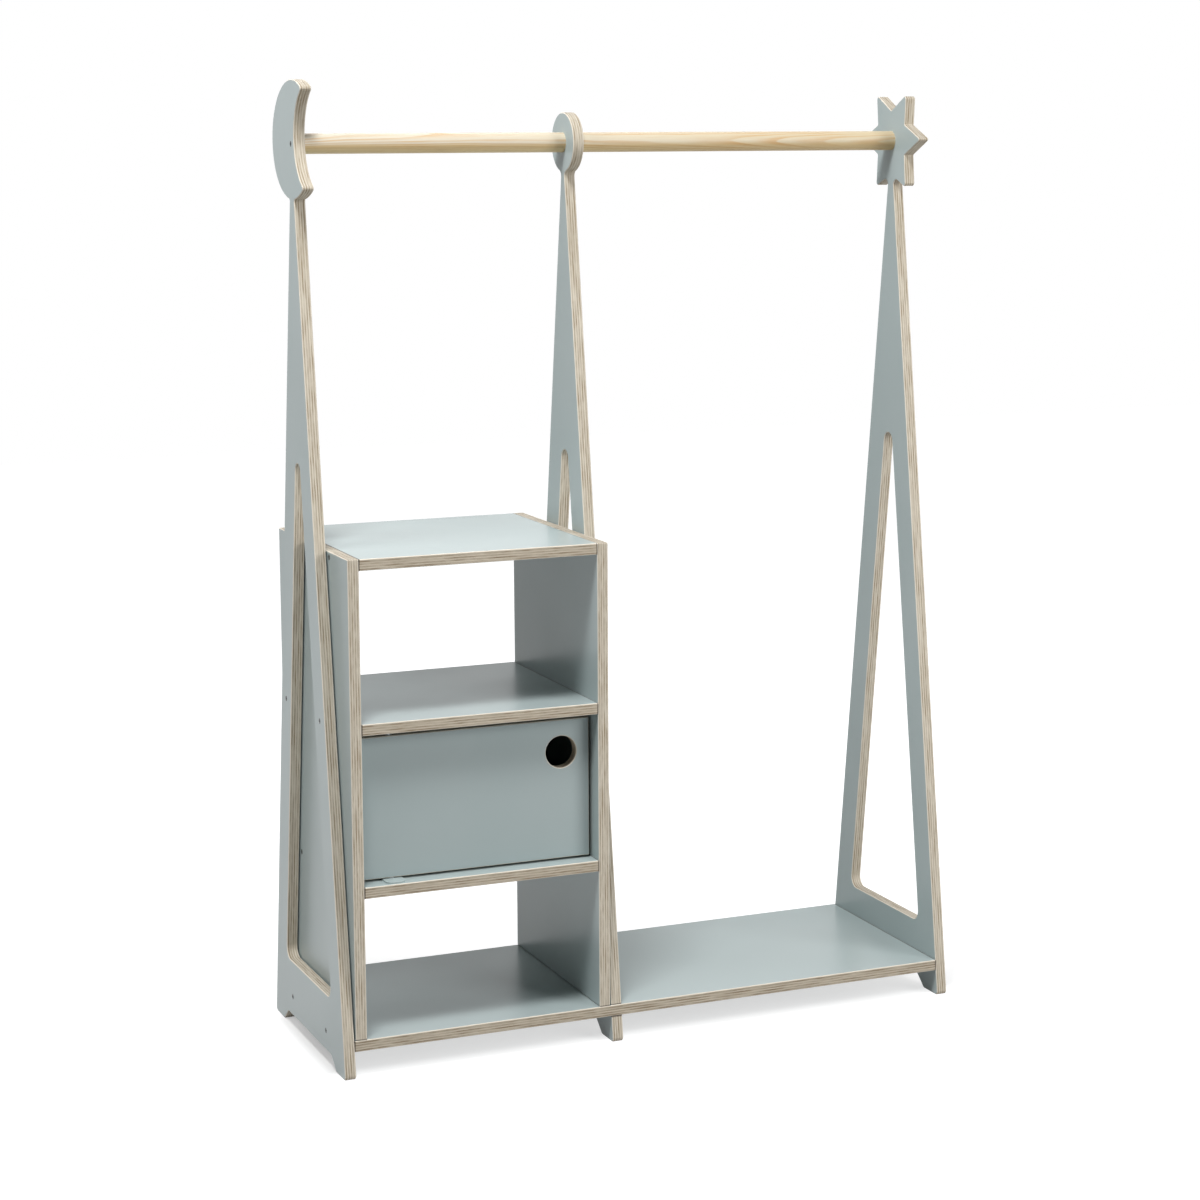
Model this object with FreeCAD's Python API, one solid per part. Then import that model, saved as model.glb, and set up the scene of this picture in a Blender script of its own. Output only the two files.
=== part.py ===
"""Kids wardrobe: three plywood A-frames topped by a moon, a disc and a star carry a clothes rail
and a bottom board, with a small open cabinet and its pivoting door between two of the frames.

X runs along the rail with the moon at -X, the front is at -Y and Z points up. The origin is on
the floor under the middle of the object. All sizes are in millimetres.
"""
import FreeCAD, Part
import math
import os

Vector = FreeCAD.Vector

# Plywood and overall size
PLY = 16.0
EASE = 1.0
WIDTH = 940.0
FOOT_SPAN = 342.0

# A-frames: the outer edges of the legs are straight and meet on the axis of the rail
RAIL_Z = 1270.0
RAIL_D = 28.0
RAIL_HOLE_D = 28.2
LEG_WIDTH = 48.0
CUTOUT_Z = 99.0
CUTOUT_CORNER_R = 15.0
CUTOUT_TOP_R = 12.5
FOOT_WIDTH = 43.0
FOOT_OUTER_R = 6.0
FOOT_INNER_R = 3.0
ARCH_Z = 17.5
ARCH_SLANT = 21.0
ARCH_R = 12.0

# Moon: an ellipse whose rear hangs a little, less a round hollow, both placed by (y, z) from the rail
MOON_CENTRE = (-2.5, 5.5)
MOON_HALF_WIDTH = 93.0
MOON_HALF_HEIGHT = 81.0
MOON_TILT = 4.8
MOON_HOLLOW_CENTRE = (-88.5, 8.0)
MOON_HOLLOW_R = 74.5
MOON_HORN_R = 4.0
MOON_NECK_R = 4.0

# Disc round the rail
DISC_R = 42.0
DISC_NECK_R = 8.0

# Six-pointed star, a little wider than high: corners of its front half before rounding, downward
# from the upper dip, by (y, z) from the rail
STAR_UPPER_DIP = (0.0, 44.0)
STAR_UPPER_TIP = (-45.5, 68.0)
STAR_UPPER_NOTCH = (-41.5, 23.0)
STAR_SIDE_TIP = (-89.5, 2.0)
STAR_LOWER_NOTCH = (-41.5, -21.0)
STAR_LOWER_TIP = (-45.5, -69.0)
STAR_LOWER_DIP = (0.0, -50.0)
STAR_TIP_R = 4.5
STAR_SIDE_TIP_R = 3.0
STAR_NOTCH_R = 2.0
STAR_NECK_R = 8.0

# Bottom board and cabinet
BOARD_Z = 37.5
BOARD_DEPTH = 330.0
SPACER = 2.0
SPACER_WIDTH = 16.0
CABINET_WIDTH = 377.0
CABINET_TOP_Z = 720.0
UPPER_SHELF_Z = 494.0
LOWER_SHELF_Z = 267.5
BACK_T = 6.0
BACK_GROOVE = 4.0
BACK_RECESS = 14.0

# Door and its finger hole
DOOR_SETBACK = 25.0
DOOR_LEFT_GAP = 2.0
DOOR_RIGHT_GAP = 4.5
DOOR_TOP_GAP = 8.5
DOOR_BOTTOM_GAP = 3.3
FINGER_D = 46.0
FINGER_FROM_EDGE = 42.0
FINGER_FROM_TOP = 46.0

# Door pivots: a plate on each shelf with a pin that turns in a bush in the door
PIVOT_FROM_SIDE = 48.0
PLATE_WIDTH = 28.0
PLATE_LENGTH = 60.0
PLATE_T = 2.0
PLATE_R = 10.0
LOWER_PLATE_MARGIN = 3.0
PLATE_SCREW_SPACING = 16.0
PLATE_SCREW_FROM_REAR = 8.0
PIN_D = 6.0
PIN_REACH = 12.0
BUSH_BORE_D = 6.1
BUSH_D = 10.0
BUSH_LENGTH = 14.0
WASHER_D = 12.0
WASHER_T = 1.0

# Magnetic catch behind the top of the door, clear of the finger hole
CATCH_FROM_EDGE = 110.0
CATCH_GAP = 0.3
CATCH_DEPTH = 12.0
CATCH_BLOCK_WIDTH = 18.0
CATCH_HEIGHT = 19.0
CATCH_FLANGE_WIDTH = 38.0
CATCH_FLANGE_T = 2.5
CATCH_SCREW_SPACING = 28.0
STRIKE_WIDTH = 24.0
STRIKE_HEIGHT = 10.0
STRIKE_T = 1.0
STRIKE_FROM_TOP = 1.5

# Fasteners: joint screws hold boards together, small screws hold the fittings
SCREW_SIDES = 8
SCREW_TIP_SHARE = 0.4
JOINT_SCREW_HEAD_D = 8.0
JOINT_SCREW_D = 5.0
JOINT_SCREW_GRIP = 30.0
JOINT_SCREW_Y = 82.0
BASE_SCREW_Y = 100.0
SMALL_SCREW_HEAD_D = 5.6
SMALL_SCREW_D = 3.0
SMALL_SCREW_LENGTH = 12.0

# Places that follow from the sizes above
LEFT_X = -WIDTH / 2
RIGHT_X = WIDTH / 2 - PLY
SIDE_L_X = LEFT_X + PLY + SPACER
SIDE_R_X = SIDE_L_X + CABINET_WIDTH - PLY
MIDDLE_X = SIDE_R_X + PLY + SPACER
INNER_L_X = SIDE_L_X + PLY
INNER_R_X = SIDE_R_X
FRONT_Y = -BOARD_DEPTH / 2
REAR_Y = BOARD_DEPTH / 2
BOARD_TOP_Z = BOARD_Z + PLY
UPPER_SHELF_LOW_Z = UPPER_SHELF_Z - PLY
LEG_SLOPE = FOOT_SPAN / 2 / RAIL_Z
BACK_Y = REAR_Y - BACK_RECESS - BACK_T
DOOR_Y = FRONT_Y + DOOR_SETBACK
DOOR_LEFT_X = INNER_L_X + DOOR_LEFT_GAP
DOOR_RIGHT_X = INNER_R_X - DOOR_RIGHT_GAP
DOOR_LOW_Z = LOWER_SHELF_Z + DOOR_BOTTOM_GAP
DOOR_TOP_Z = UPPER_SHELF_LOW_Z - DOOR_TOP_GAP
PIVOT_X = INNER_L_X + PIVOT_FROM_SIDE
PIVOT_Y = DOOR_Y + PLY / 2
LOWER_PLATE_Y = FRONT_Y + LOWER_PLATE_MARGIN
UPPER_PLATE_Y = DOOR_Y
CATCH_X = DOOR_RIGHT_X - CATCH_FROM_EDGE
DOOR_BACK_Y = DOOR_Y + PLY
STRIKE_MID_Z = DOOR_TOP_Z - STRIKE_FROM_TOP - STRIKE_HEIGHT / 2

TOLERANCE = 0.01
X_DIR = Vector(1, 0, 0)
Y_DIR = Vector(0, 1, 0)
Z_DIR = Vector(0, 0, 1)


def box(low, high):
    """Box between two corners."""
    size = Vector(*high) - Vector(*low)
    return Part.makeBox(size.x, size.y, size.z, Vector(*low))


def rod(start, direction, diameter, length):
    """Round bar from a point along a direction."""
    return Part.makeCylinder(diameter / 2, length, start, direction)


def rounded_face(corners, place):
    """Flat face through (u, v, radius) corners, each rounded; place turns u, v into a point."""
    turns = []
    for i, (u, v, radius) in enumerate(corners):
        here = place(u, v)
        back = (place(*corners[i - 1][:2]) - here).normalize()
        ahead = (place(*corners[(i + 1) % len(corners)][:2]) - here).normalize()
        half = back.getAngle(ahead) / 2
        reach = radius / math.tan(half)
        inward = (back + ahead).normalize()
        middle = here + inward * (radius / math.sin(half) - radius)
        turns.append((here + back * reach, middle, here + ahead * reach, radius))
    edges = []
    for i, (start, middle, end, radius) in enumerate(turns):
        if radius > 0:
            edges.append(Part.Arc(start, middle, end).toShape())
        edges.append(Part.LineSegment(end, turns[(i + 1) % len(turns)][0]).toShape())
    return Part.Face(Part.Wire(edges))


def on_frame(x):
    """Placer for outlines drawn in y and z on the plane at x."""
    return lambda y, z: Vector(x, y, z)


def edges_where(shape, test):
    """Edges of a shape whose middle point and direction pass a test."""
    picked = []
    for edge in shape.Edges:
        middle = edge.valueAt((edge.FirstParameter + edge.LastParameter) / 2)
        along = edge.Vertexes[-1].Point - edge.Vertexes[0].Point
        if test(middle, along):
            picked.append(edge)
    return picked


def near(value, targets):
    """True where a coordinate equals one of the targets."""
    return any(abs(value - target) < TOLERANCE for target in targets)


def moon(x):
    """Crescent open to the front: an ellipse less a round hollow, with its horns rounded."""
    rail = Vector(x, 0, RAIL_Z)
    centre = rail + Vector(0, *MOON_CENTRE)
    hollow = rail + Vector(0, *MOON_HOLLOW_CENTRE)
    tilt = math.radians(MOON_TILT)
    long_way = Vector(0, math.cos(tilt), -math.sin(tilt)) * MOON_HALF_WIDTH
    short_way = Vector(0, math.sin(tilt), math.cos(tilt)) * MOON_HALF_HEIGHT
    outline = Part.Ellipse(centre + long_way, centre + short_way, centre)
    body = Part.Face(Part.Wire(outline.toShape())).extrude(X_DIR * PLY)
    body = body.cut(rod(hollow, X_DIR, 2 * MOON_HOLLOW_R, PLY))

    def at_horn(middle, along):
        reach = math.hypot(middle.y - hollow.y, middle.z - hollow.z)
        return near(abs(along.x), [PLY]) and near(reach, [MOON_HOLLOW_R])

    return body.makeFillet(MOON_HORN_R, edges_where(body, at_horn))


def disc(x):
    """Round head that the rail passes through."""
    return rod(Vector(x, 0, RAIL_Z), X_DIR, 2 * DISC_R, PLY)


def star(x):
    """Six-pointed star with two points level, two up and two down."""
    front = [
        (*STAR_UPPER_TIP, STAR_TIP_R), (*STAR_UPPER_NOTCH, STAR_NOTCH_R), (*STAR_SIDE_TIP, STAR_SIDE_TIP_R),
        (*STAR_LOWER_NOTCH, STAR_NOTCH_R), (*STAR_LOWER_TIP, STAR_TIP_R),
    ]
    rear = [(-y, z, r) for y, z, r in reversed(front)]
    outline = [(*STAR_UPPER_DIP, STAR_NOTCH_R)] + front + [(*STAR_LOWER_DIP, STAR_NOTCH_R)] + rear
    corners = [(y, RAIL_Z + z, r) for y, z, r in outline]
    return rounded_face(corners, on_frame(x)).extrude(X_DIR * PLY)


def legs(x):
    """Tall triangle with its slender opening and the arch between its feet."""
    half = FOOT_SPAN / 2
    sole = half - FOOT_WIDTH
    arch = sole - ARCH_SLANT
    outline = [
        (half, 0, FOOT_OUTER_R), (0, RAIL_Z, 0), (-half, 0, FOOT_OUTER_R),
        (-sole, 0, FOOT_INNER_R), (-arch, ARCH_Z, ARCH_R),
        (arch, ARCH_Z, ARCH_R), (sole, 0, FOOT_INNER_R),
    ]
    inner = half - LEG_WIDTH
    low = inner - LEG_SLOPE * CUTOUT_Z
    opening = [
        (low, CUTOUT_Z, CUTOUT_CORNER_R),
        (0, inner / LEG_SLOPE, CUTOUT_TOP_R),
        (-low, CUTOUT_Z, CUTOUT_CORNER_R),
    ]
    body = rounded_face(outline, on_frame(x)).extrude(X_DIR * PLY)
    return body.cut(rounded_face(opening, on_frame(x)).extrude(X_DIR * PLY))


def frame(x, head, neck_radius):
    """A-frame with its head grown out of the legs and every edge lightly eased."""
    body = legs(x).fuse(head).removeSplitter()
    neck = RAIL_Z - head.BoundBox.ZMin

    def at_neck(middle, along):
        between = RAIL_Z - neck - neck_radius < middle.z < RAIL_Z
        on_leg = near(abs(middle.y), [LEG_SLOPE * (RAIL_Z - middle.z)])
        return near(abs(along.x), [PLY]) and between and on_leg

    body = body.makeFillet(neck_radius, edges_where(body, at_neck))
    return body.makeChamfer(EASE, edges_where(body, lambda m, a: near(m.x, [x, x + PLY])))


def side_panel(x):
    """Upright of the cabinet with every edge eased."""
    body = box((x, FRONT_Y, BOARD_TOP_Z), (x + PLY, REAR_Y, CABINET_TOP_Z))
    return body.makeChamfer(EASE, body.Edges)


def level_board(x_low, x_high, top_z):
    """Horizontal board with its front and rear edges eased."""
    body = box((x_low, FRONT_Y, top_z - PLY), (x_high, REAR_Y, top_z))
    return body.makeChamfer(EASE, edges_where(body, lambda m, a: abs(a.x) > PLY))


def door_panel():
    """Inset door with its round finger hole, all edges eased."""
    body = box((DOOR_LEFT_X, DOOR_Y, DOOR_LOW_Z), (DOOR_RIGHT_X, DOOR_BACK_Y, DOOR_TOP_Z))
    centre = Vector(DOOR_RIGHT_X - FINGER_FROM_EDGE, DOOR_Y, DOOR_TOP_Z - FINGER_FROM_TOP)
    body = body.cut(rod(centre, Y_DIR, FINGER_D, PLY))
    return body.makeChamfer(EASE, edges_where(body, lambda m, a: near(m.y, [DOOR_Y, DOOR_BACK_Y])))


def screw(head, direction, head_d, shank_d, length):
    """Countersunk screw with few flat sides, its head flush at a point and its tip along a direction."""
    head_r = head_d / 2
    shank_r = shank_d / 2
    sections = [
        (0, head_r), (head_r - shank_r, shank_r),
        (length - shank_d, shank_r), (length, shank_r * SCREW_TIP_SHARE),
    ]
    rings = []
    for z, radius in sections:
        turns = [2 * math.pi * i / SCREW_SIDES for i in range(SCREW_SIDES)]
        rings.append([Vector(radius * math.cos(a), radius * math.sin(a), z) for a in turns])
    outlines = [rings[0], rings[-1]]
    for near_ring, far_ring in zip(rings, rings[1:]):
        for i in range(SCREW_SIDES):
            outlines.append([near_ring[i - 1], near_ring[i], far_ring[i], far_ring[i - 1]])
    faces = [Part.Face(Part.makePolygon(outline + outline[:1])) for outline in outlines]
    body = Part.Solid(Part.Shell(faces))
    body.Placement = FreeCAD.Placement(head, FreeCAD.Rotation(Z_DIR, direction))
    return body


def joint_screws(places, length):
    """Joint screws with their heads flush at places given as (point, direction)."""
    return Part.makeCompound([
        screw(point, direction, JOINT_SCREW_HEAD_D, JOINT_SCREW_D, length)
        for point, direction in places
    ])


def small_screws(places):
    """Small screws with their heads flush at places given as (point, direction)."""
    return Part.makeCompound([
        screw(point, direction, SMALL_SCREW_HEAD_D, SMALL_SCREW_D, SMALL_SCREW_LENGTH)
        for point, direction in places
    ])


def facing_pairs(left_x, right_x, ys, z):
    """Screw places on two outer faces that look away from each other."""
    left = [(Vector(left_x, y, z), X_DIR) for y in ys]
    right = [(Vector(right_x, y, z), X_DIR * -1) for y in ys]
    return left + right


def pivot_plate(front, z_low):
    """Round-cornered steel plate that carries a pivot pin."""
    left = PIVOT_X - PLATE_WIDTH / 2
    right = PIVOT_X + PLATE_WIDTH / 2
    corners = [(u, v, PLATE_R) for u, v in (
        (left, front), (right, front), (right, front + PLATE_LENGTH), (left, front + PLATE_LENGTH),
    )]
    return rounded_face(corners, lambda x, y: Vector(x, y, z_low)).extrude(Z_DIR * PLATE_T)


def plate_screw_places(front, z):
    """Two places side by side behind the pin of a pivot plate."""
    y = front + PLATE_LENGTH - PLATE_SCREW_FROM_REAR
    return [Vector(PIVOT_X + side * PLATE_SCREW_SPACING / 2, y, z) for side in (-1, 1)]


def bush(z_low):
    """Plain bush let into the edge of the door."""
    foot = Vector(PIVOT_X, PIVOT_Y, z_low)
    return rod(foot, Z_DIR, BUSH_D, BUSH_LENGTH).cut(rod(foot, Z_DIR, BUSH_BORE_D, BUSH_LENGTH))


def catch_body():
    """Magnetic catch: a block under a flange that is screwed to the shelf above."""
    y0 = DOOR_BACK_Y + STRIKE_T + CATCH_GAP
    half_block = CATCH_BLOCK_WIDTH / 2
    half_flange = CATCH_FLANGE_WIDTH / 2
    top = UPPER_SHELF_LOW_Z
    y1 = y0 + CATCH_DEPTH
    block = box((CATCH_X - half_block, y0, top - CATCH_HEIGHT), (CATCH_X + half_block, y1, top))
    flange = box((CATCH_X - half_flange, y0, top - CATCH_FLANGE_T), (CATCH_X + half_flange, y1, top))
    return block.fuse(flange).removeSplitter()


def strike_plate():
    """Thin steel plate on the back of the door that the magnet holds."""
    half = STRIKE_WIDTH / 2
    low = STRIKE_MID_Z - STRIKE_HEIGHT / 2
    high = STRIKE_MID_Z + STRIKE_HEIGHT / 2
    return box((CATCH_X - half, DOOR_BACK_Y, low), (CATCH_X + half, DOOR_BACK_Y + STRIKE_T, high))


def build():
    """All pieces by name."""
    left = frame(LEFT_X, moon(LEFT_X), MOON_NECK_R)
    middle = frame(MIDDLE_X, disc(MIDDLE_X), DISC_NECK_R)
    right = frame(RIGHT_X, star(RIGHT_X), STAR_NECK_R)
    middle_face = MIDDLE_X + PLY
    right_face = RIGHT_X + PLY

    # The rail butts against the end frames and passes through the disc
    rail_start = Vector(LEFT_X + PLY, 0, RAIL_Z)
    rail = rod(rail_start, X_DIR, RAIL_D, RIGHT_X - LEFT_X - PLY)
    middle = middle.cut(rod(Vector(MIDDLE_X, 0, RAIL_Z), X_DIR, RAIL_HOLE_D, PLY))

    # Middle frame and bottom board are halved into each other at mid-depth
    board = level_board(LEFT_X + PLY, RIGHT_X, BOARD_TOP_Z)
    board = board.cut(box((MIDDLE_X, 0, BOARD_Z), (middle_face, REAR_Y, BOARD_TOP_Z)))
    middle = middle.cut(box((MIDDLE_X, -FOOT_SPAN, BOARD_Z), (middle_face, 0, BOARD_TOP_Z)))

    # Cabinet boards; the back of the closed compartment sits in grooves all round
    side_left = side_panel(SIDE_L_X)
    side_right = side_panel(SIDE_R_X)
    top = level_board(INNER_L_X, INNER_R_X, CABINET_TOP_Z)
    upper = level_board(INNER_L_X, INNER_R_X, UPPER_SHELF_Z)
    lower = level_board(INNER_L_X, INNER_R_X, LOWER_SHELF_Z)
    back = box(
        (INNER_L_X - BACK_GROOVE, BACK_Y, LOWER_SHELF_Z - BACK_GROOVE),
        (INNER_R_X + BACK_GROOVE, BACK_Y + BACK_T, UPPER_SHELF_LOW_Z + BACK_GROOVE),
    )
    side_left = side_left.cut(back)
    side_right = side_right.cut(back)
    upper = upper.cut(back)
    lower = lower.cut(back)

    # Joint screws, each set with the boards that it goes through
    ys = (-JOINT_SCREW_Y, JOINT_SCREW_Y)
    through = PLY + JOINT_SCREW_GRIP
    rail_screws = joint_screws(facing_pairs(LEFT_X, right_face, [0], RAIL_Z), through)
    board_screws = joint_screws(facing_pairs(LEFT_X, right_face, ys, BOARD_Z + PLY / 2), through)
    upper_places = facing_pairs(LEFT_X, middle_face, ys, UPPER_SHELF_Z - PLY / 2)
    cabinet_screws = joint_screws(upper_places, through + SPACER + PLY)
    top_places = facing_pairs(SIDE_L_X, SIDE_R_X + PLY, ys, CABINET_TOP_Z - PLY / 2)
    top_screws = joint_screws(top_places, through)
    lower_places = facing_pairs(SIDE_L_X, SIDE_R_X + PLY, ys, LOWER_SHELF_Z - PLY / 2)
    lower_screws = joint_screws(lower_places, through)
    base_screws = joint_screws([
        (Vector(x + PLY / 2, y, BOARD_Z), Z_DIR)
        for x in (SIDE_L_X, SIDE_R_X) for y in (-BASE_SCREW_Y, BASE_SCREW_Y)
    ], through)
    side_screws = cabinet_screws.Solids + top_screws.Solids + lower_screws.Solids + base_screws.Solids

    # Square shims keep the cabinet clear of the frames
    spacers = []
    shim_z = UPPER_SHELF_Z - PLY / 2
    half_shim = SPACER_WIDTH / 2
    for x in (LEFT_X + PLY, SIDE_R_X + PLY):
        for y in ys:
            low = (x, y - half_shim, shim_z - half_shim)
            high = (x + SPACER, y + half_shim, shim_z + half_shim)
            spacers.append(box(low, high).cut(cabinet_screws.Solids))

    left = left.cut(rail_screws.Solids + board_screws.Solids + cabinet_screws.Solids)
    right = right.cut(rail_screws.Solids + board_screws.Solids)
    middle = middle.cut(cabinet_screws.Solids)
    rail = rail.cut(rail_screws.Solids)
    board = board.cut(board_screws.Solids + base_screws.Solids)
    side_left = side_left.cut(side_screws)
    side_right = side_right.cut(side_screws)
    top = top.cut(top_screws.Solids)
    upper = upper.cut(cabinet_screws.Solids)
    lower = lower.cut(lower_screws.Solids)

    # Door with a bush in its lower and upper edge
    low_bush = bush(DOOR_LOW_Z)
    high_bush = bush(DOOR_TOP_Z - BUSH_LENGTH)
    sockets = [
        rod(Vector(PIVOT_X, PIVOT_Y, z), Z_DIR, BUSH_D, BUSH_LENGTH)
        for z in (DOOR_LOW_Z, DOOR_TOP_Z - BUSH_LENGTH)
    ]
    door = door_panel().cut(sockets)

    # Pivot plates on the shelves, with the pins riveted in and a washer under the door
    low_pin = rod(Vector(PIVOT_X, PIVOT_Y, LOWER_SHELF_Z), Z_DIR, PIN_D, DOOR_BOTTOM_GAP + PIN_REACH)
    high_pin = rod(Vector(PIVOT_X, PIVOT_Y, UPPER_SHELF_LOW_Z), Z_DIR * -1, PIN_D, DOOR_TOP_GAP + PIN_REACH)
    washer_foot = Vector(PIVOT_X, PIVOT_Y, LOWER_SHELF_Z + PLATE_T)
    washer = rod(washer_foot, Z_DIR, WASHER_D, WASHER_T).cut(low_pin)
    low_plate_top = LOWER_SHELF_Z + PLATE_T
    high_plate_low = UPPER_SHELF_LOW_Z - PLATE_T
    low_places = plate_screw_places(LOWER_PLATE_Y, low_plate_top)
    high_places = plate_screw_places(UPPER_PLATE_Y, high_plate_low)
    low_plate_screws = small_screws([(place, Z_DIR * -1) for place in low_places])
    high_plate_screws = small_screws([(place, Z_DIR) for place in high_places])
    low_plate = pivot_plate(LOWER_PLATE_Y, LOWER_SHELF_Z).cut([low_pin] + low_plate_screws.Solids)
    high_plate = pivot_plate(UPPER_PLATE_Y, high_plate_low).cut([high_pin] + high_plate_screws.Solids)
    lower = lower.cut(low_plate_screws.Solids)

    # Catch under the upper shelf and its strike on the door
    catch_y = DOOR_BACK_Y + STRIKE_T + CATCH_GAP + CATCH_DEPTH / 2
    catch_screws = small_screws([
        (Vector(CATCH_X + side * CATCH_SCREW_SPACING / 2, catch_y, UPPER_SHELF_LOW_Z - CATCH_FLANGE_T), Z_DIR)
        for side in (-1, 1)
    ])
    catch = catch_body().cut(catch_screws.Solids)
    upper = upper.cut(high_plate_screws.Solids + catch_screws.Solids)
    strike_face = Vector(CATCH_X, DOOR_BACK_Y + STRIKE_T, STRIKE_MID_Z)
    strike_screw = small_screws([(strike_face, Y_DIR * -1)])
    strike = strike_plate().cut(strike_screw)
    door = door.cut(strike_screw)

    return {
        "left_frame": left,
        "middle_frame": middle,
        "right_frame": right,
        "clothes_rail": rail,
        "bottom_board": board,
        "cabinet_left_side": side_left,
        "cabinet_right_side": side_right,
        "cabinet_top": top,
        "upper_shelf": upper,
        "lower_shelf": lower,
        "compartment_back": back,
        "door": door,
        "lower_pivot_plate": low_plate,
        "upper_pivot_plate": high_plate,
        "lower_pivot_pin": low_pin,
        "upper_pivot_pin": high_pin,
        "lower_pivot_bush": low_bush,
        "upper_pivot_bush": high_bush,
        "pivot_washer": washer,
        "lower_plate_screws": low_plate_screws,
        "upper_plate_screws": high_plate_screws,
        "magnet_catch": catch,
        "catch_screws": catch_screws,
        "catch_strike": strike,
        "strike_screw": strike_screw,
        "rail_screws": rail_screws,
        "board_screws": board_screws,
        "cabinet_screws": cabinet_screws,
        "cabinet_spacers": Part.makeCompound(spacers),
        "cabinet_top_screws": top_screws,
        "lower_shelf_screws": lower_screws,
        "cabinet_base_screws": base_screws,
    }


os.makedirs("parts", exist_ok=True)
for name, shape in build().items():
    state = "valid" if shape.isValid() else "INVALID"
    print(name, state, len(shape.Solids), "solids", round(shape.Volume), "mm3")
    shape.exportStep("parts/" + name + ".step")
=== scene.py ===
"""Looks of the kids wardrobe: grey-blue painted plywood with bare layered edges, a pine rail, dark
joint screws and small fittings, on a pale floor under soft studio light. All lengths are in metres.
A range is given as the function ramp takes it: from one value to another, then what these two become.
"""
import math

import bmesh
import bpy
from mathutils import Matrix, Vector


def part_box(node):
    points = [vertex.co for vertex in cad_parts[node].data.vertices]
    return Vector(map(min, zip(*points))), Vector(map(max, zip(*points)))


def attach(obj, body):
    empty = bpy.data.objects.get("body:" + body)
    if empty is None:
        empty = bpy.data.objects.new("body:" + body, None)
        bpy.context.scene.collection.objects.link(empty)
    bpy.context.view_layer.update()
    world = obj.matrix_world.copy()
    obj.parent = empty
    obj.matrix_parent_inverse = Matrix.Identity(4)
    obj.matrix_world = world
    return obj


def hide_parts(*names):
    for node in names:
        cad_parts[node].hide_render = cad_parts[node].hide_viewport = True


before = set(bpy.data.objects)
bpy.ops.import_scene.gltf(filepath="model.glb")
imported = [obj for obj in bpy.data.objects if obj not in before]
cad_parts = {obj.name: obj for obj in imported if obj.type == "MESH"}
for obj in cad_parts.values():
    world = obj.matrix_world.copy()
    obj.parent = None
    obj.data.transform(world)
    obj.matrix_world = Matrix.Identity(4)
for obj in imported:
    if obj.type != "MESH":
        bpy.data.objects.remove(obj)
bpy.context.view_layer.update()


def srgb(red, green, blue):
    """Linear colour with alpha from screen values between 0 and 255."""
    def linear(value):
        share = value / 255
        return share / 12.92 if share <= 0.04045 else ((share + 0.055) / 1.055) ** 2.4
    return (linear(red), linear(green), linear(blue), 1.0)


# Axes, and the numbered sockets of the Mix node
X_AXIS = 0
Y_AXIS = 1
Z_AXIS = 2
COLOUR_INPUTS = (6, 7)
COLOUR_OUTPUT = 2
VALUE_INPUTS = (2, 3)
VALUE_OUTPUT = 0

# Camera, fitted to the straight edges in the photograph
IMAGE_SIDE = 1200.0
IMAGE_MIDDLE = 0.5
FOCAL_PIXELS = 2749.0
PRINCIPAL_POINT = (653.24, 518.63)
SENSOR_MM = 36.0
CAMERA_PLACE = (-1.5252, -3.6505, 1.2939)
CAMERA_AZIMUTH = math.radians(-23.548)
CAMERA_ELEVATION = math.radians(8.149)
CAMERA_ROLL = math.radians(-0.159)

# Paint
PAINT = srgb(164, 177, 177)
PAINT_CLOUD = srgb(168, 180, 180)
PAINT_SPECULAR = 0.3
CLOUD_SCALE = 5.0
CLOUD_RANGE = (0.3, 0.7)
SPECK_SCALE = 1400.0
SPECK_VALUE = (0.2, 0.8, 0.994, 1.006)
PEEL_SCALE = 420.0
PEEL_HEIGHT = 0.04
SHEEN_SCALE = 9.0
PAINT_ROUGHNESS = (0.25, 0.75, 0.285, 0.325)
COAT_DEPTH = 0.00003

# Bare plywood edges: a light and a dark colour for upright boards, and for level ones
UPRIGHT_EDGE = (srgb(217, 209, 193), srgb(149, 132, 108))
LEVEL_EDGE = (srgb(202, 192, 174), srgb(132, 115, 92))
EDGE_ROUGHNESS = (0.55, 0.72)
PLIES = 9
BACK_PLIES = 5
HALF_PLY = 0.5
WANDER_SCALE = 14.0
WANDER_PLIES = 0.5
GLUE_WIDTH = 0.16
GLUE_SHADE = 0.16
STREAK_SCALE = 24.0
STREAK_SHIFT = 5.3
LIGHT_PLY_SHADE = (0.3, 0.75, -0.05, 0.32)
DARK_PLY_SHADE = (0.3, 0.7, 0.20, 0.85)
FIBRE_ALONG = 90.0
FIBRE_ACROSS = 2600.0
FIBRE_SHADE = (0.25, 0.75, -0.12, 0.18)
PORE_SCALE = 1500.0
PORE_RANGE = (0.62, 0.75)
PORE_SHADE = 0.22
GRAIN_DEPTH = 0.00012

# Where a board is painted and where its arris is eased, by how squarely it faces along its thickness
PAINTED_RANGE = (0.86, 0.94)
EASED_RANGE = (0.25, 0.45)
ARRIS = srgb(230, 222, 208)
ARRIS_SHARE = 0.85

# Painted shade on bare edges: darker where they face up, and darker and richer at the heights of the
# frames' heads
UPWARD_PAINTED_SHADE = 0.24
HEAD_SHADE_HEIGHTS = (1.0, 1.15)
HEAD_PAINTED_SHADE = 0.15
HEAD_SHADE_RICHNESS = 1.12

# Painted shade: dark lines along the seams where boards meet, and a painted contact shadow along the
# frames' soles
SEAM_SHADE = srgb(66, 60, 53)
SEAM_SHADE_RANGE = (0.0019, 0.0008, 0.0, 0.8)
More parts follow.
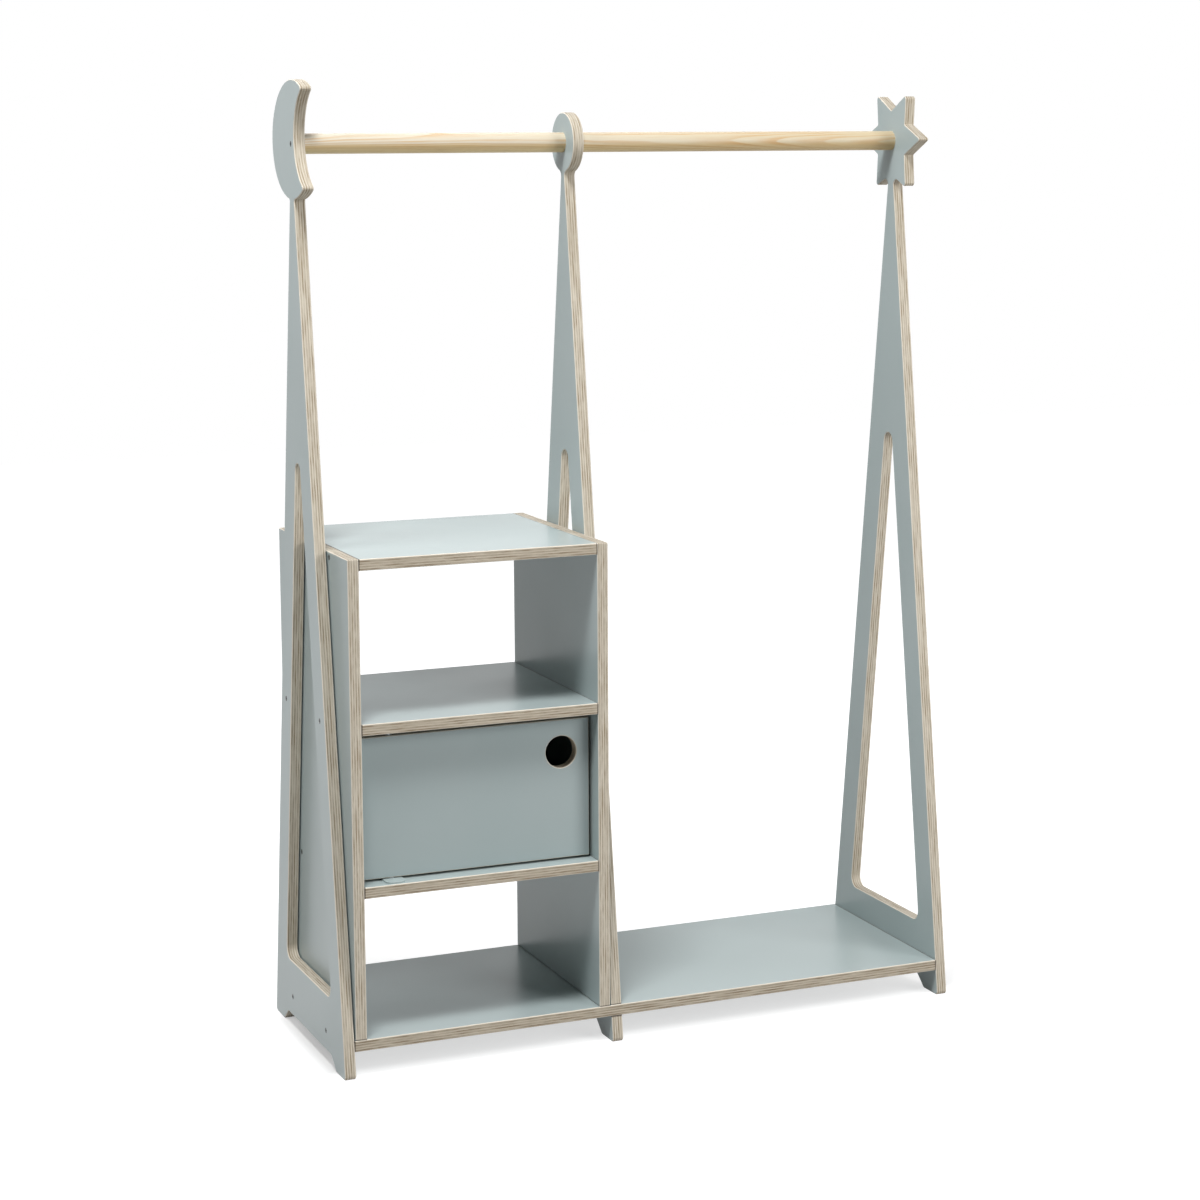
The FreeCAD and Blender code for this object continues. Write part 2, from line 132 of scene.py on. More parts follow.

# Pine rail: heights from its axis where heartwood and the painted light on its underside start and fill
SAPWOOD_LEFT = srgb(203, 196, 179)
SAPWOOD_RIGHT = srgb(199, 186, 157)
HEARTWOOD = srgb(210, 185, 138)
UNDERSIDE_PAINTED_LIGHT = srgb(231, 210, 161)
LATEWOOD = srgb(184, 141, 84)
HEART_RANGE = (0.001, -0.005)
HEART_WANDER = 0.006
UNDERSIDE_LIGHT_RANGE = (-0.006, -0.0095)
PINE_SPECULAR = 0.5
PINE_ROUGHNESS = (0.3, 0.7, 0.42, 0.52)
PINE_FIBRE_SCALES = (22.0, 1100.0, 1100.0)
PINE_FIBRE_SHADE = (0.3, 0.75, -0.04, 0.14)
PINE_DEPTH = 0.00008

# Growth rings of the rail, with the pith's Y and Z from its axis at both ends
PITH_LEFT = (0.010, -0.030)
PITH_RIGHT = (0.034, 0.008)
RING_WIDTH = 0.0024
RING_DARKENS = (0.25, 0.85)
RING_ENDS = (1.0, 0.9)
RING_PATCH_SCALES = (7.0, 60.0, 60.0)
RING_PATCH_SHADE = (0.3, 0.7, 0.15, 0.7)
SWAY_SCALES = (6.0, 30.0, 30.0)
SWAY_MIDDLE = 0.5
SWAY_REACH = 0.004

# Steel fittings: colours, and the least and most roughness
DARK_ZINC = srgb(84, 86, 86)
DARK_ZINC_WORN = srgb(120, 122, 122)
DARK_ZINC_ROUGHNESS = (0.38, 0.52)
BRIGHT_STEEL = srgb(176, 179, 181)
BRIGHT_STEEL_DULL = srgb(150, 153, 156)
BRIGHT_STEEL_ROUGHNESS = (0.28, 0.42)
BRUSH_SCALES = (400.0, 400.0, 5200.0)
BRUSH_RANGE = (0.3, 0.7)
BRUSH_DEPTH = 0.00002
WEAR_SCALE = 520.0
WEAR_RANGE = (0.35, 0.7)

# Plastic fittings
PALE_PLASTIC = srgb(204, 204, 199)
PALE_PLASTIC_DULL = srgb(190, 190, 186)
PLASTIC_PATCH_SCALE = 60.0
PLASTIC_ROUGHNESS = (0.3, 0.7, 0.5, 0.6)
SPARK_SCALE = 2200.0
SPARK_DEPTH = 0.00002

# Screws
SCREW_SEGMENTS = 24
HEX_SIDES = 6
HEAD_PROUD = 0.00012
MERGE = 1e-6
SHARP_ANGLE = math.radians(35)

# Shares of a screw's head radius
HEAD_COVER = 1.02
SOCKET_FLAT = 0.38
SOCKET_POINT = 0.75
SOCKET_DEPTH = 0.62
SOCKET_MOUTH = 0.03
MOUTH_RADIUS = 0.50
RIM_DEPTH = 0.02
CONE_RADIUS = 0.97
CONE_DEPTH = 0.08

# Flat share of the head's cover, and shares of the shank's radius at the point
COVER_FLAT = 0.92
POINT_LENGTH = 2
POINT_RADIUS = 0.35
POINT_BLUNT = 0.1

# Floor
WHITE = (1, 1, 1, 1)
FLOOR_SIDE = 14.0
FLOOR_COLOUR = srgb(179, 179, 179)

# Glow of the floor, painted light by the distance from a place in front and towards the board's front, and
# a painted shadow by the left feet
GLOW_CENTRE = (-0.15, -0.6, 0.0)
FRONT_FLOOR = 0.65
REAR_FLOOR = 0.95
FAR_FLOOR = 3.0
FRONT_LIFT = 0.63
REAR_LIFT = 0.8
FAR_LIFT = 1.0
FADE_START = 0.043
FADE_FULL = 0.010
FADE_LIFT = 0.24
DIP_START = 0.022
DIP_FULL = 0.0
DIP_LIFT = -0.27
DIP_MARGIN = 0.015
DIP_END = 0.05


def feed(tree, socket, value):
    """Links a socket into another, or sets its value."""
    if isinstance(value, bpy.types.NodeSocket):
        tree.links.new(value, socket)
    else:
        socket.default_value = value


def node(tree, kind, inputs=None, **settings):
    """New node with its settings made and its inputs fed."""
    made = tree.nodes.new(kind)
    for name, value in settings.items():
        setattr(made, name, value)
    for name, value in (inputs or {}).items():
        feed(tree, made.inputs[name], value)
    return made


def calc(tree, operation, *values):
    """Result of a math operation."""
    made = node(tree, "ShaderNodeMath", operation=operation)
    for socket, value in zip(made.inputs, values):
        feed(tree, socket, value)
    return made.outputs[0]


def clamp(tree, value):
    """Value kept between 0 and 1."""
    return calc(tree, "MINIMUM", calc(tree, "MAXIMUM", value, 0.0), 1.0)


def mix(tree, kind, sockets, share, ends):
    """Mix node of a kind, with its share and its two ends fed."""
    made = node(tree, "ShaderNodeMix", {"Factor": share}, data_type=kind)
    for socket, end in zip(sockets, ends):
        feed(tree, made.inputs[socket], end)
    return made


def mix_colour(tree, share, first, second):
    """Colour between two others."""
    return mix(tree, "RGBA", COLOUR_INPUTS, share, (first, second)).outputs[COLOUR_OUTPUT]


def mix_value(tree, share, first, second):
    """Number between two others."""
    return mix(tree, "FLOAT", VALUE_INPUTS, share, (first, second)).outputs[VALUE_OUTPUT]


def adjusted(tree, colour, value, saturation=1.0):
    """Colour with its brightness and its saturation multiplied."""
    inputs = {"Color": colour, "Value": value, "Saturation": saturation}
    return node(tree, "ShaderNodeHueSaturation", inputs).outputs[0]


def ramp(tree, value, low, high, to_low=0.0, to_high=1.0):
    """Value mapped smoothly from one range to another."""
    made = node(tree, "ShaderNodeMapRange", interpolation_type="SMOOTHSTEP")
    for name, given in (
        ("Value", value), ("From Min", low), ("From Max", high), ("To Min", to_low), ("To Max", to_high),
    ):
        feed(tree, made.inputs[name], given)
    return made.outputs["Result"]


def split(tree, vector):
    """The three parts of a vector."""
    made = node(tree, "ShaderNodeSeparateXYZ", {"Vector": vector})
    return [made.outputs[axis] for axis in ("X", "Y", "Z")]


def join(tree, parts):
    """Vector from three parts."""
    made = node(tree, "ShaderNodeCombineXYZ")
    for socket, part in zip(made.inputs, parts):
        feed(tree, socket, part)
    return made.outputs[0]


def object_spot(tree):
    """Place on the object's surface."""
    return node(tree, "ShaderNodeTexCoord").outputs["Object"]


def noise(tree, vector, scale=1.0, detail=2.0):
    """Noise between 0 and 1."""
    inputs = {"Vector": vector, "Scale": scale, "Detail": detail}
    return node(tree, "ShaderNodeTexNoise", inputs).outputs["Fac"]


def stretched(tree, parts, scales):
    """Vector with each part scaled by its own number."""
    return join(tree, [calc(tree, "MULTIPLY", part, scale) for part, scale in zip(parts, scales)])


def new_material(name):
    """Empty node material with its shader."""
    material = bpy.data.materials.new(name)
    material.use_nodes = True
    tree = material.node_tree
    tree.nodes.clear()
    shader = node(tree, "ShaderNodeBsdfPrincipled")
    output = node(tree, "ShaderNodeOutputMaterial")
    tree.links.new(shader.outputs[0], output.inputs["Surface"])
    return material, tree, shader


def finish_shader(tree, shader, colour, roughness, height, depth):
    """Feeds colour, roughness and a bump of a given depth into a shader."""
    feed(tree, shader.inputs["Base Color"], colour)
    feed(tree, shader.inputs["Roughness"], roughness)
    bump = node(tree, "ShaderNodeBump", {"Height": height, "Distance": depth, "Strength": 1.0})
    tree.links.new(bump.outputs[0], shader.inputs["Normal"])


def paint_look(tree, spot):
    """Satin paint: faint clouds, fine specks and a slight orange peel."""
    clouds = ramp(tree, noise(tree, spot, CLOUD_SCALE, detail=3.0), *CLOUD_RANGE)
    specks = noise(tree, spot, SPECK_SCALE, detail=1.0)
    colour = mix_colour(tree, clouds, PAINT, PAINT_CLOUD)
    colour = adjusted(tree, colour, ramp(tree, specks, *SPECK_VALUE))
    peel = noise(tree, spot, PEEL_SCALE)
    roughness = ramp(tree, noise(tree, spot, SHEEN_SCALE, detail=3.0), *PAINT_ROUGHNESS)
    return colour, roughness, peel


def ply_layers(tree, spot, across, plies):
    """Number of the ply at a place, and how near the place is to a glue line."""
    wander = calc(tree, "MULTIPLY", noise(tree, spot, WANDER_SCALE), WANDER_PLIES)
    depth = calc(tree, "ADD", calc(tree, "MULTIPLY", across, plies), wander)
    from_glue = calc(tree, "PINGPONG", calc(tree, "FRACT", depth), HALF_PLY)
    glue = calc(tree, "SUBTRACT", 1.0, ramp(tree, from_glue, 0.0, GLUE_WIDTH))
    return calc(tree, "FLOOR", depth), glue


def edge_look(tree, spot, across, upward, axis, plies, colours):
    """Bare plywood edge: light and dark plies in turn, streaked along their length, with pores, and painted
    shade where it faces up.
    """
    parts = split(tree, spot)
    ply, glue = ply_layers(tree, spot, across, plies)
    dark_ply = calc(tree, "MODULO", ply, 2.0)

    along = [calc(tree, "MULTIPLY", part, STREAK_SCALE) for part in parts]
    along[axis] = calc(tree, "MULTIPLY", ply, STREAK_SHIFT)
    streak = noise(tree, join(tree, along), detail=3.0)
    fibre_scales = [FIBRE_ALONG] * 3
    fibre_scales[axis] = FIBRE_ACROSS
    fibre = noise(tree, stretched(tree, parts, fibre_scales), detail=3.0)
    pore = ramp(tree, noise(tree, spot, PORE_SCALE, detail=1.0), *PORE_RANGE)

    light_shade = ramp(tree, streak, *LIGHT_PLY_SHADE)
    dark_shade = ramp(tree, streak, *DARK_PLY_SHADE)
    shade = mix_value(tree, dark_ply, light_shade, dark_shade)
    shade = calc(tree, "ADD", shade, ramp(tree, fibre, *FIBRE_SHADE))
    shade = calc(tree, "ADD", shade, calc(tree, "MULTIPLY", glue, GLUE_SHADE))
    dark_pore = calc(tree, "MULTIPLY", pore, dark_ply)
    shade = clamp(tree, calc(tree, "ADD", shade, calc(tree, "MULTIPLY", dark_pore, PORE_SHADE)))

    # Painted shade: the more a bare edge faces up, the darker it is drawn
    brightness = calc(tree, "MULTIPLY_ADD", upward, -UPWARD_PAINTED_SHADE, 1.0)
    colour = adjusted(tree, mix_colour(tree, shade, *colours), brightness)
    roughness = mix_value(tree, shade, *EDGE_ROUGHNESS)
    height = calc(tree, "SUBTRACT", 1.0, shade)
    return colour, roughness, height


def head_painted_shade(tree, spot, upward, edge):
    """Colour of a bare edge with painted shade: darker and richer at the frames' heads unless it faces up.
    """
    share = ramp(tree, split(tree, spot)[Z_AXIS], *HEAD_SHADE_HEIGHTS)
    share = calc(tree, "MULTIPLY", share, calc(tree, "SUBTRACT", 1.0, upward))
    value = calc(tree, "MULTIPLY_ADD", share, -HEAD_PAINTED_SHADE, 1.0)
    saturation = calc(tree, "MULTIPLY_ADD", share, HEAD_SHADE_RICHNESS - 1.0, 1.0)
    return adjusted(tree, edge, value, saturation)


def seam_shade_share(tree, spot, seams):
    """Share of painted seam shade at a place: most on seams, each at a place along an axis, and 0 away from
    them.
    """
    parts = split(tree, spot)
    share = 0.0
    for axis, place in seams:
        away = calc(tree, "ABSOLUTE", calc(tree, "SUBTRACT", parts[axis], place))
        share = calc(tree, "MAXIMUM", share, ramp(tree, away, *SEAM_SHADE_RANGE))
    return share


def plywood(name, axis, plies, edge_colours, seams=()):
    """Board painted on its two faces, bare on its edges, pale on its arrises, with painted shade in its
    seams.
    """
    material, tree, shader = new_material(name)
    place = node(tree, "ShaderNodeTexCoord")
    spot = place.outputs["Object"]
    normal = split(tree, place.outputs["Normal"])
    facing = calc(tree, "ABSOLUTE", normal[axis])
    upward = calc(tree, "MAXIMUM", normal[Z_AXIS], 0.0)
    across = split(tree, place.outputs["Generated"])[axis]
    painted = ramp(tree, facing, *PAINTED_RANGE)
    eased = calc(tree, "SUBTRACT", ramp(tree, facing, *EASED_RANGE), painted)

    paint, paint_roughness, peel = paint_look(tree, spot)
    edge, edge_roughness, grain = edge_look(tree, spot, across, upward, axis, plies, edge_colours)
    edge = mix_colour(tree, calc(tree, "MULTIPLY", eased, ARRIS_SHARE), edge, ARRIS)
    # Painted shade on bare edges at the heights of the frames' heads
    edge = head_painted_shade(tree, spot, upward, edge)
    colour = mix_colour(tree, painted, edge, paint)
    # Painted shade in the seams between boards and along the frames' soles
    colour = mix_colour(tree, seam_shade_share(tree, spot, seams), colour, SEAM_SHADE)
    roughness = mix_value(tree, painted, edge_roughness, paint_roughness)
    height = mix_value(tree, painted, grain, calc(tree, "MULTIPLY", peel, PEEL_HEIGHT))
    shader.inputs["Specular IOR Level"].default_value = PAINT_SPECULAR
    finish_shader(tree, shader, colour, roughness, height, GRAIN_DEPTH)
    return material


def pith_distance(tree, parts, low, high):
    """Distance from the pith, which runs at a slant to the rail."""
    squares = []
    for axis, left, right in zip((Y_AXIS, Z_AXIS), PITH_LEFT, PITH_RIGHT):
        middle = (low[axis] + high[axis]) / 2
        slope = (right - left) / (high.x - low.x)
        pith = calc(tree, "MULTIPLY_ADD", parts[X_AXIS], slope, middle + left - low.x * slope)
        squares.append(calc(tree, "POWER", calc(tree, "SUBTRACT", parts[axis], pith), 2.0))
    return calc(tree, "SQRT", calc(tree, "ADD", *squares))


def pine_base(tree, parts, low, high, sway):
    """Colour of pine without its rings: pale sapwood over tan heartwood, with painted light that makes the
    underside of the left half paler.
    """
    height = calc(tree, "SUBTRACT", parts[Z_AXIS], (low.z + high.z) / 2)
    height = calc(tree, "MULTIPLY_ADD", sway, HEART_WANDER, height)
    along = ramp(tree, parts[X_AXIS], low.x, high.x)
    sapwood = mix_colour(tree, along, SAPWOOD_LEFT, SAPWOOD_RIGHT)
    # Painted light: the underside of the left half is drawn paler, standing in for light from below
    under = mix_colour(tree, along, UNDERSIDE_PAINTED_LIGHT, HEARTWOOD)
    heart = mix_colour(tree, ramp(tree, height, *UNDERSIDE_LIGHT_RANGE), HEARTWOOD, under)
    return mix_colour(tree, ramp(tree, height, *HEART_RANGE), sapwood, heart)


def pine(name):
    """Rail of pine: sapwood and heartwood, growth rings cut at a slant, and fine fibres."""
    material, tree, shader = new_material(name)
    low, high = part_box("clothes_rail")
    parts = split(tree, object_spot(tree))
    sway = calc(tree, "SUBTRACT", noise(tree, stretched(tree, parts, SWAY_SCALES)), SWAY_MIDDLE)
    radius = calc(tree, "MULTIPLY_ADD", sway, SWAY_REACH, pith_distance(tree, parts, low, high))
    rings = calc(tree, "FRACT", calc(tree, "DIVIDE", radius, RING_WIDTH))
    late = calc(tree, "MULTIPLY", ramp(tree, rings, *RING_DARKENS), ramp(tree, rings, *RING_ENDS))
    fibre = noise(tree, stretched(tree, parts, PINE_FIBRE_SCALES), detail=3.0)
    patch = noise(tree, stretched(tree, parts, RING_PATCH_SCALES))

    shade = calc(tree, "MULTIPLY", late, ramp(tree, patch, *RING_PATCH_SHADE))
    shade = clamp(tree, calc(tree, "ADD", shade, ramp(tree, fibre, *PINE_FIBRE_SHADE)))
    colour = mix_colour(tree, shade, pine_base(tree, parts, low, high, sway), LATEWOOD)
    roughness = ramp(tree, fibre, *PINE_ROUGHNESS)
    shader.inputs["Specular IOR Level"].default_value = PINE_SPECULAR
    finish_shader(tree, shader, colour, roughness, fibre, PINE_DEPTH)
    return material


def coated_steel(name):
    """Steel fitting coated in the colour of the paint."""
    material, tree, shader = new_material(name)
    colour, roughness, peel = paint_look(tree, object_spot(tree))
    shader.inputs["Specular IOR Level"].default_value = PAINT_SPECULAR
    finish_shader(tree, shader, colour, roughness, peel, COAT_DEPTH)
    return material


def metal(name, bright, dull, roughness_ends):
    """Plated steel with faint brushing and cloudy wear."""
    material, tree, shader = new_material(name)
    spot = object_spot(tree)
    brushing = noise(tree, stretched(tree, split(tree, spot), BRUSH_SCALES))
    wear = noise(tree, spot, WEAR_SCALE, detail=3.0)
    colour = mix_colour(tree, ramp(tree, wear, *WEAR_RANGE), dull, bright)
    roughness = ramp(tree, brushing, *BRUSH_RANGE, *roughness_ends)
    shader.inputs["Metallic"].default_value = 1.0
    finish_shader(tree, shader, colour, roughness, brushing, BRUSH_DEPTH)
    return material


def plastic(name):
    """Matte moulded plastic with a fine sparked texture."""
    material, tree, shader = new_material(name)
    spot = object_spot(tree)
    texture = noise(tree, spot, SPARK_SCALE)
    patch = noise(tree, spot, PLASTIC_PATCH_SCALE)
    colour = mix_colour(tree, patch, PALE_PLASTIC, PALE_PLASTIC_DULL)
    roughness = ramp(tree, patch, *PLASTIC_ROUGHNESS)
    finish_shader(tree, shader, colour, roughness, texture, SPARK_DEPTH)
    return material


def dress(material, names):
    """Gives CAD nodes a material."""
    for name in names:
        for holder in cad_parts[name].material_slots:
            holder.material = material


def joined_corners(start, seen):
    """Places of a corner and of all that edges join to it, which are added to those seen."""
    seen.add(start.index)
    waiting = [start]
    places = []
    while waiting:
        corner = waiting.pop()
        places.append(corner.co.copy())
        for edge in corner.link_edges:
            other = edge.other_vert(corner)
            if other.index not in seen:
                seen.add(other.index)
                waiting.append(other)
    return places


def solids(name):
    """Corner places of each separate solid in a node."""
    mesh = bmesh.new()
    mesh.from_mesh(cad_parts[name].data)
    bmesh.ops.remove_doubles(mesh, verts=mesh.verts, dist=MERGE)
    mesh.verts.index_update()
    mesh.verts.ensure_lookup_table()
    seen = set()
    groups = [joined_corners(start, seen) for start in mesh.verts if start.index not in seen]
    mesh.free()
    return groups


def screw_measures(corners):
    """Head centre, direction, head radius, shank radius and length of a screw, from its corners."""
    low = Vector(min(c[i] for c in corners) for i in range(3))
    high = Vector(max(c[i] for c in corners) for i in range(3))
    size = high - low
    axis = max(range(3), key=lambda i: size[i])
    middle = (low + high) / 2

    def reach(corner):
        return math.hypot(*(corner[i] - middle[i] for i in range(3) if i != axis))

    widest = max(corners, key=reach)
    head_is_low = widest[axis] < middle[axis]
    head = middle.copy()
    head[axis] = low[axis] if head_is_low else high[axis]
    direction = Vector((0, 0, 0))
    direction[axis] = 1.0 if head_is_low else -1.0
    inner = [reach(c) for c in corners if abs(c[axis] - middle[axis]) < 0.5 * size[axis] - MERGE]
    return head, direction, reach(widest), max(inner), size[axis]


def hex_reach(turn, flat):
    """Distance from the middle of a hexagon to its side, at an angle."""
    step = 2 * math.pi / HEX_SIDES
    return flat / math.cos(turn % step - step / 2)


def screw_rings(head_r, shank_r, length):
    """Shape, radius and depth of each ring of a screw, from the socket's floor to the point."""
    cover = head_r * HEAD_COVER
    flat = head_r * SOCKET_FLAT
    return [
        ("hex", flat, head_r * SOCKET_DEPTH),
        ("hex", flat, head_r * SOCKET_MOUTH),
        ("round", head_r * MOUTH_RADIUS, -HEAD_PROUD),
        ("round", cover * COVER_FLAT, -HEAD_PROUD),
        ("round", cover, head_r * RIM_DEPTH),
        ("round", head_r * CONE_RADIUS, head_r * CONE_DEPTH),
        ("round", shank_r, head_r - shank_r),
        ("round", shank_r, length - POINT_LENGTH * shank_r),
        ("round", shank_r * POINT_RADIUS, length - shank_r * POINT_BLUNT),
    ]


def ring_corners(mesh, head, turn_to, shape, radius, depth):
    """New corners around a screw's axis, at a depth below its head."""
    loop = []
    for i in range(SCREW_SEGMENTS):
        turn = 2 * math.pi * i / SCREW_SEGMENTS
        reach = hex_reach(turn, radius) if shape == "hex" else radius
        offset = Vector((reach * math.cos(turn), reach * math.sin(turn), depth))
        loop.append(mesh.verts.new(head + turn_to @ offset))
    return loop


def close_end(mesh, loop, place, step):
    """Closes a ring by a fan around a tip, whose corners run forward (1) or backward (-1)."""
    tip = mesh.verts.new(place)
    for i in range(SCREW_SEGMENTS):
        mesh.faces.new((loop[i - 1], tip, loop[i])[::step])


def add_screw(mesh, corners):
    """Adds a countersunk screw with a hexagon socket, where a CAD screw is."""
    head, direction, head_r, shank_r, length = screw_measures(corners)
    turn_to = direction.to_track_quat("Z", "Y").to_matrix()
    loops = [ring_corners(mesh, head, turn_to, *ring) for ring in screw_rings(head_r, shank_r, length)]
    for first, second in zip(loops, loops[1:]):
        for i in range(SCREW_SEGMENTS):
            mesh.faces.new((first[i - 1], first[i], second[i], second[i - 1]))
    close_end(mesh, loops[0], head + direction * (head_r * SOCKET_POINT), 1)
    close_end(mesh, loops[-1], head + direction * length, -1)


def screws(name, body, material):
    """Replaces a node of plain screws by ones with sockets."""
    mesh = bmesh.new()
    for corners in solids(name):
        add_screw(mesh, corners)
    bmesh.ops.recalc_face_normals(mesh, faces=mesh.faces)
    data = bpy.data.meshes.new(name + "_visual")
    mesh.to_mesh(data)
    mesh.free()
    data.materials.append(material)
    data.shade_smooth()
    data.set_sharp_from_angle(angle=SHARP_ANGLE)
    piece = bpy.data.objects.new(name + "_visual", data)
    bpy.context.scene.collection.objects.link(piece)
    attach(piece, body)
    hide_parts(name)


def camera_turn():
    """Matrix that turns the camera to the photograph's azimuth, elevation and roll."""
    right = Vector((math.cos(CAMERA_AZIMUTH), math.sin(CAMERA_AZIMUTH), 0))
    level = math.cos(CAMERA_ELEVATION)
    back = Vector((
        math.sin(CAMERA_AZIMUTH) * level,
        -math.cos(CAMERA_AZIMUTH) * level,
        math.sin(CAMERA_ELEVATION),
    ))
    up = back.cross(right)
    rolled_right = right * math.cos(CAMERA_ROLL) + up * math.sin(CAMERA_ROLL)
    rolled_up = up * math.cos(CAMERA_ROLL) - right * math.sin(CAMERA_ROLL)
    return Matrix((rolled_right, rolled_up, back)).transposed().to_4x4()


def place_camera():
    """Camera where the photograph was taken from."""
    lens = bpy.data.cameras.new("camera")
    lens.sensor_width = SENSOR_MM
    lens.lens = FOCAL_PIXELS / IMAGE_SIDE * SENSOR_MM
    lens.shift_x = IMAGE_MIDDLE - PRINCIPAL_POINT[0] / IMAGE_SIDE
    lens.shift_y = PRINCIPAL_POINT[1] / IMAGE_SIDE - IMAGE_MIDDLE
    camera = bpy.data.objects.new("camera", lens)
    camera.matrix_world = Matrix.Translation(CAMERA_PLACE) @ camera_turn()
    bpy.context.scene.collection.objects.link(camera)
    bpy.context.scene.camera = camera


def softbox(name, place, aim, width, height, power):
    """Rectangular soft light that looks at a point."""
    lamp = bpy.data.lights.new(name, "AREA")
    lamp.shape = "RECTANGLE"
    lamp.size = width
    lamp.size_y = height
    lamp.energy = power
    holder = bpy.data.objects.new(name, lamp)
    holder.location = place
    holder.rotation_euler = (Vector(aim) - Vector(place)).to_track_quat("-Z", "Y").to_euler()
    bpy.context.scene.collection.objects.link(holder)


def seen_share(tree):
    """1 for rays that show a surface to the camera, straight or by gloss or glass."""
    path = node(tree, "ShaderNodeLightPath")
    shown = calc(tree, "MAXIMUM", path.outputs["Is Camera Ray"], path.outputs["Is Glossy Ray"])
    return calc(tree, "MAXIMUM", shown, path.outputs["Is Transmission Ray"])


def studio_sky():
    """White to the camera and in gloss, and no light on the object, which the lamps give."""
    world = bpy.data.worlds.new("sky")
    world.use_nodes = True
    tree = world.node_tree
    tree.nodes.clear()
    background = node(tree, "ShaderNodeBackground", {"Color": WHITE, "Strength": seen_share(tree)})
    output = node(tree, "ShaderNodeOutputWorld")
    tree.links.new(background.outputs[0], output.inputs["Surface"])
    bpy.context.scene.world = world


def left_painted_shadow(tree, x, y):
    """Share of the painted shadow close to the outside of the left frame, between the ends of its feet."""
    low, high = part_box("left_frame")
    outside = calc(tree, "SUBTRACT", low.x, x)
    beside = ramp(tree, outside, DIP_START, DIP_FULL)
    beside = calc(tree, "MULTIPLY", beside, ramp(tree, x, high.x + DIP_MARGIN, high.x))
    along = ramp(tree, calc(tree, "ABSOLUTE", y), high.y, high.y - DIP_END)
    return calc(tree, "MULTIPLY", beside, along)


def floor_lift(tree):
    """Glow of the floor: more away from its centre and towards the board's front as painted light, less by
    the left feet as a painted shadow.
    """
    spot = object_spot(tree)
    x, y, _ = split(tree, spot)
    measured = node(tree, "ShaderNodeVectorMath", {0: spot, 1: GLOW_CENTRE}, operation="DISTANCE")
    reach = measured.outputs["Value"]
    near = ramp(tree, reach, FRONT_FLOOR, REAR_FLOOR, FRONT_LIFT, REAR_LIFT)
    far = ramp(tree, reach, REAR_FLOOR, FAR_FLOOR, 0.0, FAR_LIFT - REAR_LIFT)
    board_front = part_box("bottom_board")[0].y
    fade = ramp(tree, y, board_front + FADE_START, board_front + FADE_FULL, 0.0, FADE_LIFT)
    dip = calc(tree, "MULTIPLY", left_painted_shadow(tree, x, y), DIP_LIFT)
    return calc(tree, "ADD", calc(tree, "ADD", near, far), calc(tree, "ADD", fade, dip))


def floor_material():
    """Pale matte that also glows where it is seen, so that it shows white in the light."""
    material = bpy.data.materials.new("floor")
    material.use_nodes = True
    tree = material.node_tree
    tree.nodes.clear()
    matte = node(tree, "ShaderNodeBsdfDiffuse", {"Color": FLOOR_COLOUR})
    lift = calc(tree, "MULTIPLY", seen_share(tree), floor_lift(tree))
    glow = node(tree, "ShaderNodeEmission", {"Color": WHITE, "Strength": lift})
    both = node(tree, "ShaderNodeAddShader")
    tree.links.new(matte.outputs[0], both.inputs[0])
    tree.links.new(glow.outputs[0], both.inputs[1])
    output = node(tree, "ShaderNodeOutputMaterial")
    tree.links.new(both.outputs[0], output.inputs["Surface"])
    return material


def studio_floor():
    """Floor that keeps the object's shadow."""
    mesh = bmesh.new()
    bmesh.ops.create_grid(mesh, x_segments=2, y_segments=2, size=FLOOR_SIDE / 2)
    data = bpy.data.meshes.new("floor")
    mesh.to_mesh(data)
    mesh.free()
    floor = bpy.data.objects.new("floor", data)
    bpy.context.scene.collection.objects.link(floor)
    data.materials.append(floor_material())


# Seams for the painted seam shade, which the boards' places give
board_low, board_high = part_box("bottom_board")
shelf_low, shelf_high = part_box("upper_shelf")
floor_seam = (Z_AXIS, 0.0)
board_top_seam = (Z_AXIS, board_high.z)
board_low_seam = (Z_AXIS, board_low.z)
middle_seams = [floor_seam, board_low_seam, board_top_seam]
board_end_seams = [(X_AXIS, board_low.x), (X_AXIS, board_high.x)]
shelf_end_seams = [(X_AXIS, shelf_low.x), (X_AXIS, shelf_high.x)]

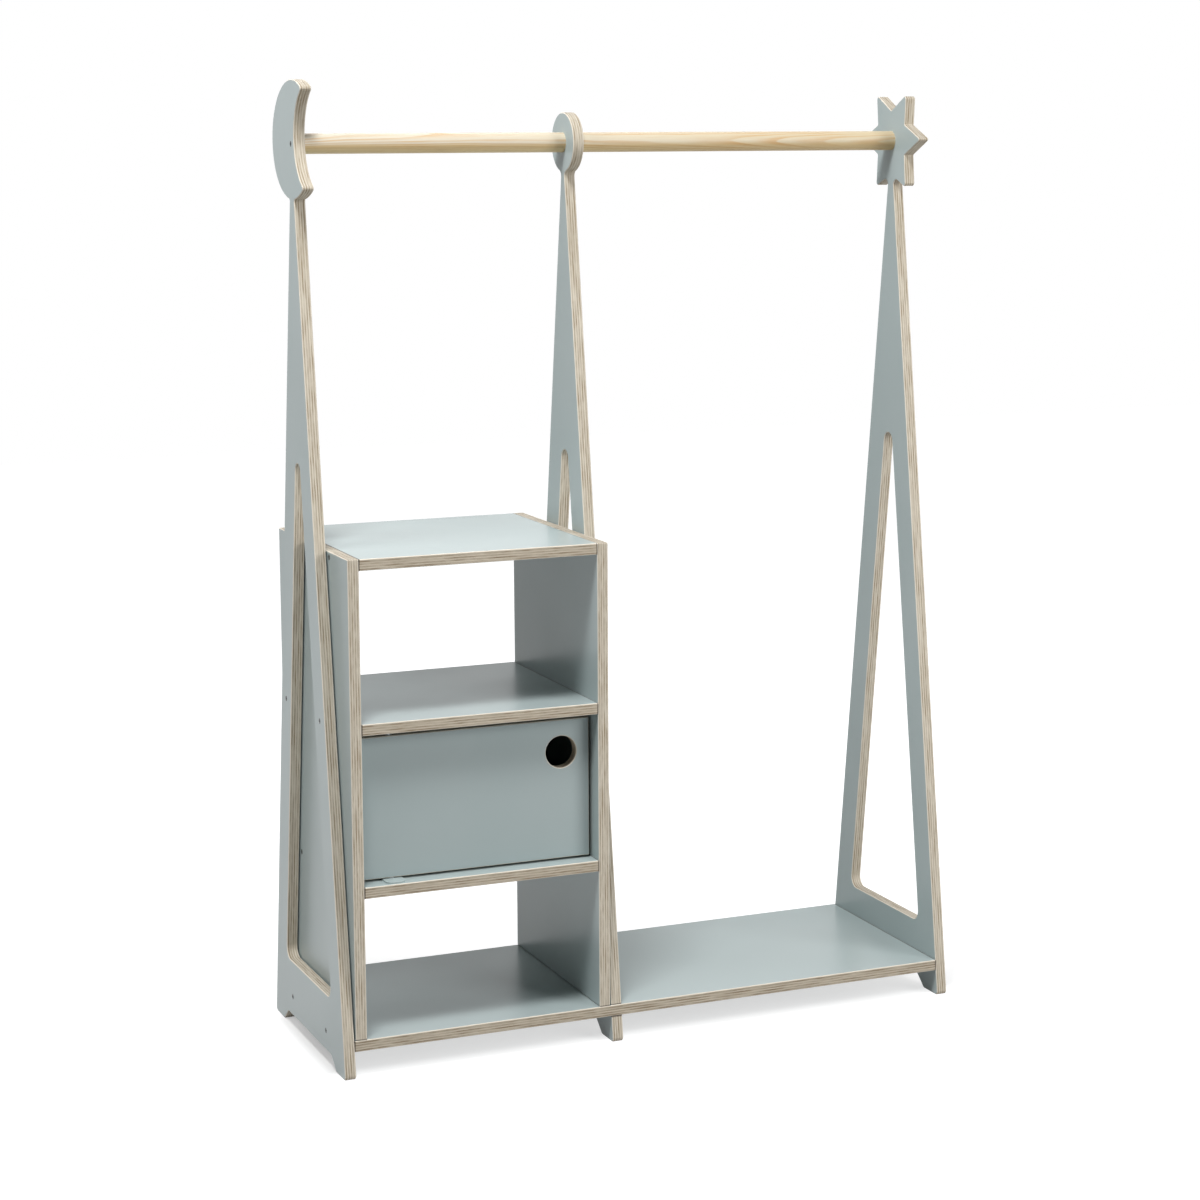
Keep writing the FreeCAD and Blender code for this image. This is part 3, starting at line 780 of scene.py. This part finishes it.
# Materials on the CAD nodes
dress(plywood("plywood_frame", X_AXIS, PLIES, UPRIGHT_EDGE, [floor_seam]), ("left_frame", "right_frame"))
dress(plywood("plywood_middle", X_AXIS, PLIES, UPRIGHT_EDGE, middle_seams), ("middle_frame",))
dress(plywood("plywood_side", X_AXIS, PLIES, UPRIGHT_EDGE, [board_top_seam]), (
    "cabinet_left_side", "cabinet_right_side",
))
dress(plywood("plywood_shelf", Z_AXIS, PLIES, LEVEL_EDGE, shelf_end_seams), (
    "cabinet_top", "upper_shelf", "lower_shelf",
))
dress(plywood("plywood_board", Z_AXIS, PLIES, LEVEL_EDGE, board_end_seams), ("bottom_board",))
dress(plywood("plywood_door", Y_AXIS, PLIES, LEVEL_EDGE), ("door",))
dress(plywood("plywood_back", Y_AXIS, BACK_PLIES, LEVEL_EDGE), ("compartment_back",))
dress(pine("pine"), ("clothes_rail",))
dress(coated_steel("coated_steel"), ("lower_pivot_plate", "upper_pivot_plate"))
bright_steel = metal("bright_steel", BRIGHT_STEEL, BRIGHT_STEEL_DULL, BRIGHT_STEEL_ROUGHNESS)
dress(bright_steel, ("lower_pivot_pin", "upper_pivot_pin", "pivot_washer", "catch_strike"))
dress(plastic("plastic"), ("lower_pivot_bush", "upper_pivot_bush", "magnet_catch", "cabinet_spacers"))

# Screws with sockets in place of the plain ones
dark_zinc = metal("dark_zinc", DARK_ZINC_WORN, DARK_ZINC, DARK_ZINC_ROUGHNESS)
for joint_screws in (
    "rail_screws", "board_screws", "cabinet_screws", "cabinet_top_screws", "lower_shelf_screws",
    "cabinet_base_screws",
):
    screws(joint_screws, "wardrobe", dark_zinc)
for small_screws in ("lower_plate_screws", "upper_plate_screws", "catch_screws"):
    screws(small_screws, "wardrobe", bright_steel)
screws("strike_screw", "door_leaf", bright_steel)

# Studio
studio_sky()
studio_floor()
softbox("key_light", place=(-1.08, -1.2, 4.0), aim=(0.0, 0.0, 0.4), width=0.8, height=0.8, power=116.0)
softbox("left_light", place=(-2.2, -0.4, 2.4), aim=(-0.3, 0.0, 1.0), width=1.4, height=1.4, power=28.0)
softbox("right_light", place=(3.2, -0.3, 1.8), aim=(0.0, 0.0, 0.6), width=1.8, height=1.8, power=15.0)
softbox("front_light", place=(2.2, -3.0, 2.0), aim=(0.0, 0.0, 0.6), width=1.8, height=1.8, power=81.0)
softbox("rear_light", place=(0.0, 2.0, 2.9), aim=(0.0, 0.0, 0.6), width=2.2, height=1.6, power=20.0)
place_camera()
bpy.context.scene.view_settings.view_transform = "Standard"
